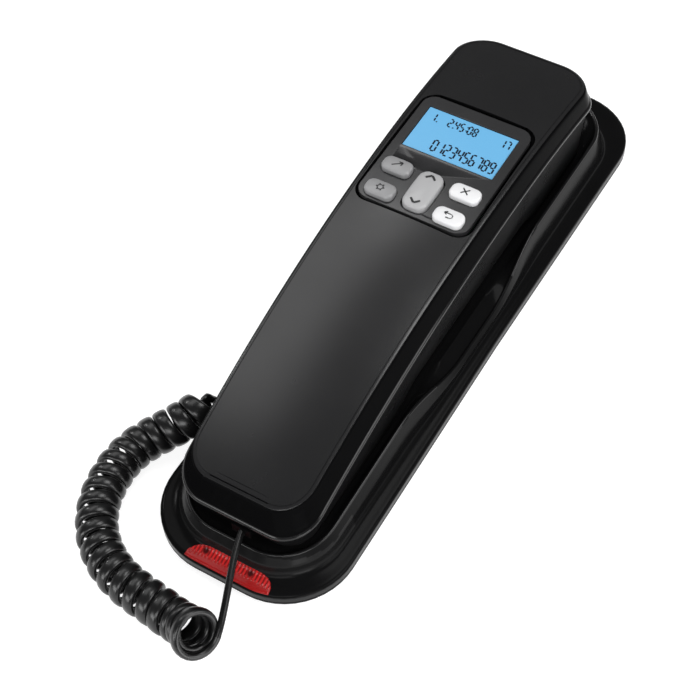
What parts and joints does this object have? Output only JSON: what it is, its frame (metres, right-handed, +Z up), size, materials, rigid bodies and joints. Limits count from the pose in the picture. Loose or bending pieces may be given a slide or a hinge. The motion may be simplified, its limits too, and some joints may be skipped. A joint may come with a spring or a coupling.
{
  "type": "corded telephone",
  "caption": "Slim corded telephone: a handset with a display and menu keys lies face down in a long cradle base, joined by a curly cord.",
  "frame": {"origin": "middle of the base's footprint, on the table", "axes": "+X to the right when the mouthpiece end is nearest, +Y towards the earpiece end, +Z up"},
  "size_m": [0.087, 0.2607, 0.0538],
  "materials": {
    "gloss_black": "polished moulding",
    "satin_black": "satin moulding with a glossy bevel",
    "matte_black": "fine moulded texture",
    "dark_grey": "fine moulded texture",
    "panel_grey": "polished panel",
    "window_blue": "clear window over a lit display",
    "red_lens": "clear red moulding",
    "clear_lamp": "clear lamp",
    "circuit_board": "glass-fibre board",
    "brass_disc": "sounder disc",
    "inner_black": "moulded",
    "inner_grey": "moulded",
    "inner_metal": "drawn can",
    "socket_black": "moulded",
    "foot_rubber": "soft rubber",
    "screw_steel": "zinc plated",
    "mat_rubber": "silicone rubber",
    "key_silver": "satin silver lacquer",
    "dial_key_grey": "satin",
    "function_key_grey": "satin",
    "plug_black": "moulded",
    "cord_black": "satin flexible jacket"
  },
  "bodies": {
    "base": {"base_housing": "gloss_black", "base_plate": "matte_black", "ring_lens": "red_lens", "ring_lamps": "clear_lamp", "base_board": "circuit_board", "ringer": "brass_disc", "hook_switch": "inner_black", "line_jack": "socket_black", "cord_jack": "socket_black", "rubber_feet": "foot_rubber", "base_screws": "screw_steel", "base_plug": "plug_black", "base_tail": "cord_black", "curly_cord": "cord_black", "handset_lead": "cord_black"},
    "hook": {"hook_plunger": "matte_black"},
    "handset": {"handset_back": "satin_black", "handset_face": "matte_black", "dial_plate": "dark_grey", "display_panel": "panel_grey", "display_window": "window_blue", "display_module": "inner_grey", "menu_mat": "mat_rubber", "display_board": "circuit_board", "dial_mat": "mat_rubber", "dial_board": "circuit_board", "ear_grille": "matte_black", "ear_speaker": "inner_grey", "microphone": "inner_metal", "handset_jack": "socket_black", "handset_screws": "screw_steel", "handset_plug": "plug_black"},
    "rocker": {"scroll_rocker": "key_silver"},
    "menu_key_left_upper": {"menu_key_left_upper": "key_silver"},
    "menu_key_left_lower": {"menu_key_left_lower": "key_silver"},
    "menu_key_right_upper": {"menu_key_right_upper": "key_silver"},
    "menu_key_right_lower": {"menu_key_right_lower": "key_silver"},
    "dial_key_1": {"dial_key_1": "dial_key_grey"},
    "dial_key_2": {"dial_key_2": "dial_key_grey"},
    "dial_key_3": {"dial_key_3": "dial_key_grey"},
    "dial_key_4": {"dial_key_4": "dial_key_grey"},
    "dial_key_5": {"dial_key_5": "dial_key_grey"},
    "dial_key_6": {"dial_key_6": "dial_key_grey"},
    "dial_key_7": {"dial_key_7": "dial_key_grey"},
    "dial_key_8": {"dial_key_8": "dial_key_grey"},
    "dial_key_9": {"dial_key_9": "dial_key_grey"},
    "dial_key_star": {"dial_key_star": "dial_key_grey"},
    "dial_key_0": {"dial_key_0": "dial_key_grey"},
    "dial_key_hash": {"dial_key_hash": "dial_key_grey"},
    "function_key_left": {"function_key_left": "function_key_grey"},
    "function_key_middle": {"function_key_middle": "function_key_grey"},
    "function_key_right": {"function_key_right": "function_key_grey"}
  },
  "joints": [
    {"name": "handset_lift", "type": "slide", "parent": "base", "child": "handset", "axis": [0, 0, 1], "range_m": [0, 0.06]},
    {"name": "hook_rise", "type": "slide", "parent": "base", "child": "hook", "axis": [0, 0, 1], "range_m": [0, 0.0022]},
    {"name": "rocker_tilt", "type": "hinge", "parent": "handset", "child": "rocker", "pos_m": [0, 0.0076, 0.04915], "axis": [1, 0, 0], "range_deg": [-4, 4], "stiffness_Nm_per_rad": 0.15},
    {"name": "menu_key_left_upper_press", "type": "slide", "parent": "handset", "child": "menu_key_left_upper", "axis": [0, 0, -1], "range_m": [0, 0.0008], "stiffness_N_per_m": 400},
    {"name": "menu_key_left_lower_press", "type": "slide", "parent": "handset", "child": "menu_key_left_lower", "axis": [0, 0, -1], "range_m": [0, 0.0008], "stiffness_N_per_m": 400},
    {"name": "menu_key_right_upper_press", "type": "slide", "parent": "handset", "child": "menu_key_right_upper", "axis": [0, 0, -1], "range_m": [0, 0.0008], "stiffness_N_per_m": 400},
    {"name": "menu_key_right_lower_press", "type": "slide", "parent": "handset", "child": "menu_key_right_lower", "axis": [0, 0, -1], "range_m": [0, 0.0008], "stiffness_N_per_m": 400},
    {"name": "dial_key_1_press", "type": "slide", "parent": "handset", "child": "dial_key_1", "axis": [0, 0, 1], "range_m": [0, 0.0009], "stiffness_N_per_m": 400},
    {"name": "dial_key_2_press", "type": "slide", "parent": "handset", "child": "dial_key_2", "axis": [0, 0, 1], "range_m": [0, 0.0009], "stiffness_N_per_m": 400},
    {"name": "dial_key_3_press", "type": "slide", "parent": "handset", "child": "dial_key_3", "axis": [0, 0, 1], "range_m": [0, 0.0009], "stiffness_N_per_m": 400},
    {"name": "dial_key_4_press", "type": "slide", "parent": "handset", "child": "dial_key_4", "axis": [0, 0, 1], "range_m": [0, 0.0009], "stiffness_N_per_m": 400},
    {"name": "dial_key_5_press", "type": "slide", "parent": "handset", "child": "dial_key_5", "axis": [0, 0, 1], "range_m": [0, 0.0009], "stiffness_N_per_m": 400},
    {"name": "dial_key_6_press", "type": "slide", "parent": "handset", "child": "dial_key_6", "axis": [0, 0, 1], "range_m": [0, 0.0009], "stiffness_N_per_m": 400},
    {"name": "dial_key_7_press", "type": "slide", "parent": "handset", "child": "dial_key_7", "axis": [0, 0, 1], "range_m": [0, 0.0009], "stiffness_N_per_m": 400},
    {"name": "dial_key_8_press", "type": "slide", "parent": "handset", "child": "dial_key_8", "axis": [0, 0, 1], "range_m": [0, 0.0009], "stiffness_N_per_m": 400},
    {"name": "dial_key_9_press", "type": "slide", "parent": "handset", "child": "dial_key_9", "axis": [0, 0, 1], "range_m": [0, 0.0009], "stiffness_N_per_m": 400},
    {"name": "dial_key_star_press", "type": "slide", "parent": "handset", "child": "dial_key_star", "axis": [0, 0, 1], "range_m": [0, 0.0009], "stiffness_N_per_m": 400},
    {"name": "dial_key_0_press", "type": "slide", "parent": "handset", "child": "dial_key_0", "axis": [0, 0, 1], "range_m": [0, 0.0009], "stiffness_N_per_m": 400},
    {"name": "dial_key_hash_press", "type": "slide", "parent": "handset", "child": "dial_key_hash", "axis": [0, 0, 1], "range_m": [0, 0.0009], "stiffness_N_per_m": 400},
    {"name": "function_key_left_press", "type": "slide", "parent": "handset", "child": "function_key_left", "axis": [0, 0, 1], "range_m": [0, 0.0009], "stiffness_N_per_m": 400},
    {"name": "function_key_middle_press", "type": "slide", "parent": "handset", "child": "function_key_middle", "axis": [0, 0, 1], "range_m": [0, 0.0009], "stiffness_N_per_m": 400},
    {"name": "function_key_right_press", "type": "slide", "parent": "handset", "child": "function_key_right", "axis": [0, 0, 1], "range_m": [0, 0.0009], "stiffness_N_per_m": 400}
  ],
  "couplings": [
    {"joint": "hook_rise", "follows": "handset_lift", "ratio": 0.0366}
  ]
}
